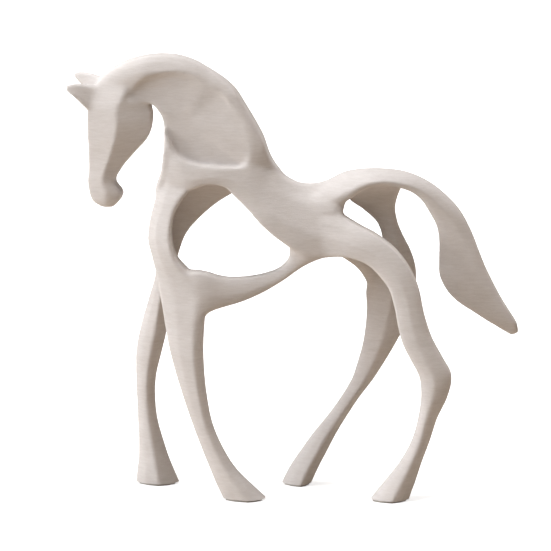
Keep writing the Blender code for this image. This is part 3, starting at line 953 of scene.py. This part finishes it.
def stone_finish(group):
    """Pale rubbed cast stone."""
    material, tree, shader, place = new_material("rubbed_cast_stone")
    surface = node(tree, "ShaderNodeGroup")
    surface.node_tree = group
    tree.links.new(place, surface.inputs["Place"])
    colour = two_tones(tree, surface.outputs["Tone"], STONE_SHADE, STONE_PALE)
    tree.links.new(colour, shader.inputs["Base Color"])
    rough = spread(tree, surface.outputs["Tone"], 0.0, 1.0, *STONE_ROUGHNESS)
    tree.links.new(rough, shader.inputs["Roughness"])
    shader.inputs["Specular IOR Level"].default_value = STONE_SPECULAR
    bump(tree, shader, surface.outputs["Height"], *STONE_BUMP)
    return material


def felt_finish():
    """Grey-beige pressed felt with loose fibres."""
    material, tree, shader, place = new_material("pressed_felt")
    mask = sum_of(tree, (noise(tree, place, FIBRES), 0.6), (noise(tree, place, TUFTS), 0.4))
    tree.links.new(two_tones(tree, mask, FELT_DARK, FELT_PALE), shader.inputs["Base Color"])
    tree.links.new(spread(tree, mask, 0.0, 1.0, *FELT_ROUGHNESS), shader.inputs["Roughness"])
    shader.inputs["Specular IOR Level"].default_value = FELT_SPECULAR
    bump(tree, shader, mask, *FELT_BUMP)
    return material


def steel_finish():
    """Drawn steel with fine lines along the bar."""
    material, tree, shader, place = new_material("drawn_steel")
    lines = noise(tree, place, DRAWN_LINES)
    tree.links.new(two_tones(tree, lines, STEEL_DARK, STEEL_PALE), shader.inputs["Base Color"])
    tree.links.new(spread(tree, lines, 0.0, 1.0, *STEEL_ROUGHNESS), shader.inputs["Roughness"])
    shader.inputs["Metallic"].default_value = 1.0
    bump(tree, shader, lines, *STEEL_BUMP)
    return material


# Studio

def seen_directly(tree):
    """1 for camera, glossy and transmitted rays, otherwise 0."""
    path = node(tree, "ShaderNodeLightPath")
    total = path.outputs["Is Camera Ray"]
    for name in ("Is Glossy Ray", "Is Transmission Ray"):
        either = node(tree, "ShaderNodeMath", operation="MAXIMUM")
        tree.links.new(total, either.inputs[0])
        tree.links.new(path.outputs[name], either.inputs[1])
        total = either.outputs[0]
    return total


def white_floor():
    """A wide pale floor that looks white and keeps a soft shadow."""
    bm = bmesh.new()
    bmesh.ops.create_grid(bm, x_segments=1, y_segments=1, size=FLOOR_SIZE / 2)
    floor = mesh_object("studio_floor", bm)
    material, tree, shader, place = new_material("studio_floor")
    seen = seen_directly(tree)
    tone = two_tones(tree, seen, (*FLOOR_BOUNCE, 1.0), (*FLOOR_COLOUR, 1.0))
    tree.links.new(tone, shader.inputs["Base Color"])
    shader.inputs["Roughness"].default_value = 1.0
    shader.inputs["Specular IOR Level"].default_value = 0.0
    shader.inputs["Emission Color"].default_value = (1.0, 1.0, 1.0, 1.0)
    away = node(tree, "ShaderNodeVectorMath", operation="LENGTH")
    tree.links.new(place, away.inputs[0])
    lift = spread(tree, away.outputs["Value"], FLOOR_NEAR, FLOOR_FAR, FLOOR_LIFT, FLOOR_LIFT_FAR)
    shown = node(tree, "ShaderNodeMath", operation="MULTIPLY")
    tree.links.new(lift, shown.inputs[0])
    tree.links.new(seen, shown.inputs[1])
    tree.links.new(shown.outputs[0], shader.inputs["Emission Strength"])
    floor.data.materials.append(material)


def room_light():
    """A white background with an even, slightly warm light."""
    world = bpy.data.worlds.new("studio_room")
    bpy.context.scene.world = world
    world.use_nodes = True
    tree = world.node_tree
    background = tree.nodes["Background"]
    seen = seen_directly(tree)
    colour = two_tones(tree, seen, (*ROOM_LIGHT, 1.0), (1.0, 1.0, 1.0, 1.0))
    strength = spread(tree, seen, 0.0, 1.0, ROOM_STRENGTH, 1.0)
    tree.links.new(colour, background.inputs["Color"])
    tree.links.new(strength, background.inputs["Strength"])


def softbox(name, place, size, power, colour):
    """A square area light aimed at the statue."""
    light = bpy.data.lights.new(name, "AREA")
    light.size = size
    light.energy = power
    light.color = colour
    made = bpy.data.objects.new(name, light)
    made.location = place
    aim = Vector(LIGHT_AIM) - Vector(place)
    made.rotation_euler = aim.to_track_quat("-Z", "Y").to_euler()
    bpy.context.scene.collection.objects.link(made)


def photo_camera():
    """The camera at the photograph's angle."""
    flat = math.cos(CAMERA_ELEVATION)
    toward = Vector(
        (
            math.sin(CAMERA_AZIMUTH) * flat,
            -math.cos(CAMERA_AZIMUTH) * flat,
            math.sin(CAMERA_ELEVATION),
        )
    )
    lens = bpy.data.cameras.new("photo_camera")
    lens.lens = CAMERA_LENS
    lens.sensor_width = CAMERA_SENSOR
    lens.clip_end = CAMERA_REACH
    made = bpy.data.objects.new("photo_camera", lens)
    made.location = Vector(CAMERA_AIM) + toward * CAMERA_DISTANCE
    made.rotation_euler = (-toward).to_track_quat("-Z", "Y").to_euler()
    bpy.context.scene.collection.objects.link(made)
    bpy.context.scene.camera = made


# The statue
castings = part_castings(statue_skin())
pads = {
    "near_fore_pad": hoof_pad("near_fore_felt", NEAR_FORELEG, NEAR_FORELEG_FOLDS),
    "far_fore_pad": hoof_pad("far_fore_felt", FAR_FORELEG, FAR_FORELEG_FOLDS),
    "near_hind_pad": hoof_pad("near_hind_felt", NEAR_HINDLEG, NEAR_HINDLEG_FOLDS),
    "far_hind_pad": hoof_pad("far_hind_felt", FAR_HINDLEG, FAR_HINDLEG_FOLDS),
}
centre([*castings.values(), *pads.values()])

stone = stone_finish(rubbed_stone_group())
felt = felt_finish()
steel = steel_finish()
for pieces, finish, slot in ((castings, stone, "cast_stone"), (pads, felt, "felt")):
    for name, piece in pieces.items():
        piece.data.materials.clear()
        piece.data.materials.append(finish)
        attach(piece, "root")
        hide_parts(name)
for name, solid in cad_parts.items():
    if "_dowel" in name:
        for place in solid.material_slots:
            place.material = steel

white_floor()
room_light()
for light in STUDIO_LIGHTS:
    softbox(*light)
photo_camera()
bpy.context.scene.view_settings.view_transform = "Standard"
